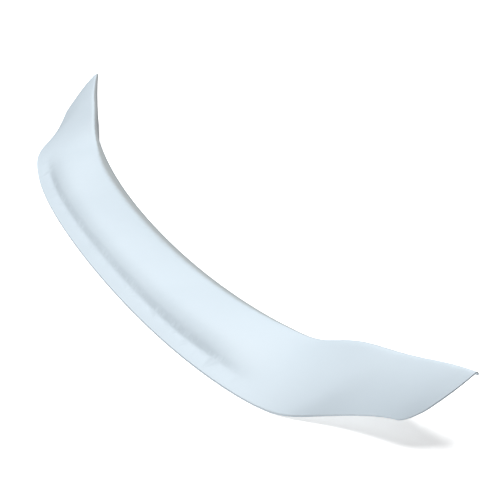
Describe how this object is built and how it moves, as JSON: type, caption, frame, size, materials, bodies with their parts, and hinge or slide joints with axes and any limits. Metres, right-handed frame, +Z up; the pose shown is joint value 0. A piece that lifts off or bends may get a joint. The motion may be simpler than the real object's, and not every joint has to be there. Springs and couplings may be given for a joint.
{
  "type": "trunk spoiler",
  "caption": "Car trunk-lid spoiler: a thin one-piece shell with a flat bonding strip on one long edge, a rolled lip on the other, and end fins that rise and sweep back to a point.",
  "frame": {"origin": "middle of the spoiler's outline seen from above, on the level plane that its bonding strip and rear foot rest on", "axes": "+X across the car towards one fin, +Y from the bonding strip's free edge to the rolled lip, +Z up from the lid"},
  "size_m": [1.2896, 0.2531, 0.0984],
  "materials": {
    "primed_plastic": "satin primer, pale grey"
  },
  "bodies": {
    "root": {"spoiler_shell": "primed_plastic"}
  },
  "joints": []
}
